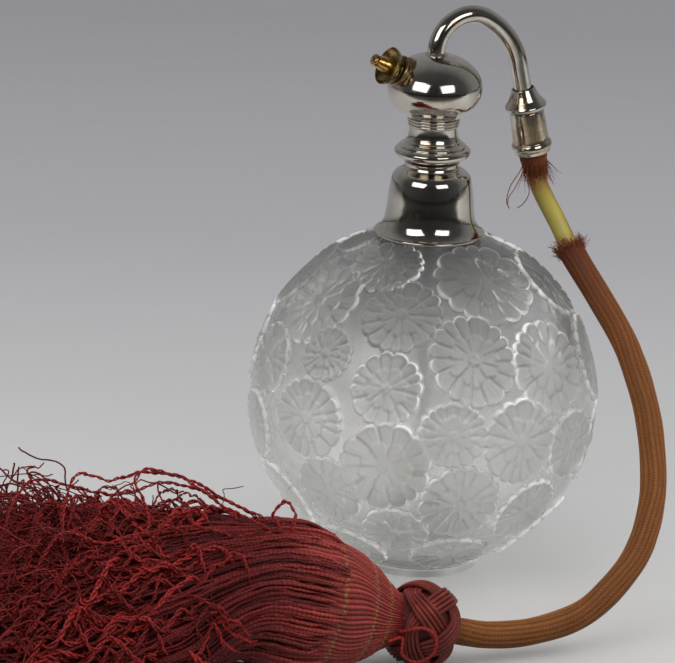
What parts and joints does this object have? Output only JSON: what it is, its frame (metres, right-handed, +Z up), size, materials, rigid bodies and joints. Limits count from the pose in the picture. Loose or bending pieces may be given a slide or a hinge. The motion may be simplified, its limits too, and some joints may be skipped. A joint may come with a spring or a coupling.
{
  "type": "perfume atomiser bottle",
  "caption": "Round pressed-glass perfume atomiser with a plated spray head, gooseneck air tube, braided rubber hose and a netted squeeze bulb in a long tassel.",
  "frame": {"origin": "centre of the foot's flat underside, on the plane that the bottle stands on", "axes": "+Z up along the bottle's axis; the nozzle points towards -X, the gooseneck arches towards +X, and the hose and tassel lie on the -Y side"},
  "size_m": [0.2023, 0.1404, 0.1459],
  "materials": {
    "frosted_glass": "pressed glass, satin frosted flower heads with polished channels between them",
    "clear_glass": "clear drawn tube",
    "plaster": "set plaster",
    "nickel_plate": "polished nickel plate, worn to brass along edges",
    "brass": "turned brass, warm, lightly tarnished",
    "steel": "polished ball",
    "cork": "dark compressed cork",
    "aged_rubber": "aged translucent yellow rubber",
    "golden_braid": "tight golden brown braid, redder and frayed at its top end",
    "frayed_braid": "dark red brown frayed threads",
    "crimson_silk": "crinkled crimson strands",
    "bulb_net_silk": "ribbed net with a thin gold thread",
    "knot_silk": "satin cord woven in groups of strands",
    "bulb_rubber": "matt dark red rubber",
    "binding_thread": "waxed thread whipping"
  },
  "bodies": {
    "bottle": {"glass_bottle": "frosted_glass", "neck_cement": "plaster", "bell_collar": "nickel_plate", "collar_thread_insert": "brass"},
    "lift_stage": {"neck_washer": "cork"},
    "head": {"screw_mount": "nickel_plate", "head_ball": "nickel_plate", "nozzle_base": "brass", "nozzle_cup": "brass", "gooseneck_tube": "nickel_plate", "ferrule_cap": "nickel_plate", "hose_nipple": "brass", "liquid_tube": "brass", "dip_tube_gasket": "cork", "dip_tube_socket": "brass", "dip_tube": "clear_glass"},
    "nozzle": {"nozzle_tip": "brass"},
    "ferrule": {"hose_ferrule": "nickel_plate"},
    "hose_swivel": {"braid_stump": "frayed_braid"},
    "hose": {"rubber_hose": "aged_rubber", "braided_sleeve": "golden_braid"},
    "tassel": {"tassel_knot": "knot_silk", "neck_binding": "binding_thread", "tail_binding": "binding_thread", "outlet_valve_body": "brass", "inlet_valve_body": "brass", "valve_cap": "brass", "tassel_head_cord": "crimson_silk", "tassel_fringe": "crimson_silk"},
    "bulb": {"rubber_bulb": "bulb_rubber", "bulb_net": "bulb_net_silk"},
    "outlet_ball": {"outlet_valve_ball": "steel"},
    "inlet_ball": {"inlet_valve_ball": "steel"}
  },
  "joints": [
    {"name": "head_lift_off", "type": "slide", "parent": "bottle", "child": "lift_stage", "axis": [0, 0, 1], "range_m": [0, 0.1]},
    {"name": "head_unscrew", "type": "hinge", "parent": "lift_stage", "child": "head", "pos_m": [0, 0, 0.104], "axis": [0, 0, 1], "range_deg": [0, 1440], "stiffness_Nm_per_rad": 0.001},
    {"name": "nozzle_turn", "type": "hinge", "parent": "head", "child": "nozzle", "pos_m": [0, 0, 0.1254], "axis": [-0.8988, 0, 0.4384], "range_deg": [0, 360]},
    {"name": "ferrule_turn", "type": "hinge", "parent": "head", "child": "ferrule", "pos_m": [0.02495, 0, 0.1234], "axis": [0.2079, 0, -0.9781], "range_deg": [0, 720]},
    {"name": "hose_swing", "type": "hinge", "parent": "head", "child": "hose_swivel", "pos_m": [0.02911, 0, 0.10384], "axis": [0, 0, 1], "range_deg": [-10, 45], "stiffness_Nm_per_rad": 0.02},
    {"name": "hose_lift", "type": "hinge", "parent": "hose_swivel", "child": "hose", "pos_m": [0.02911, 0, 0.10384], "axis": [-0.5942, 0.8043, 0], "range_deg": [0, 35]},
    {"name": "tassel_swing", "type": "hinge", "parent": "hose", "child": "tassel", "pos_m": [-0.0251, -0.0728, 0.0082], "axis": [0, 0, 1], "range_deg": [-15, 25], "stiffness_Nm_per_rad": 0.02},
    {"name": "bulb_squeeze", "type": "slide", "parent": "tassel", "child": "bulb", "axis": [0, 0, -1], "range_m": [0, 0.016], "stiffness_N_per_m": 300, "deforming": ["rubber_bulb", "bulb_net"]},
    {"name": "outlet_ball_lift", "type": "slide", "parent": "tassel", "child": "outlet_ball", "axis": [0.9565, -0.1344, -0.2588], "range_m": [0, 0.0009]},
    {"name": "inlet_ball_close", "type": "slide", "parent": "tassel", "child": "inlet_ball", "axis": [-0.9565, 0.1344, 0.2588], "range_m": [0, 0.0008]}
  ],
  "couplings": [
    {"joint": "outlet_ball_lift", "follows": "bulb_squeeze", "ratio": 0.05625},
    {"joint": "inlet_ball_close", "follows": "bulb_squeeze", "ratio": 0.05}
  ]
}
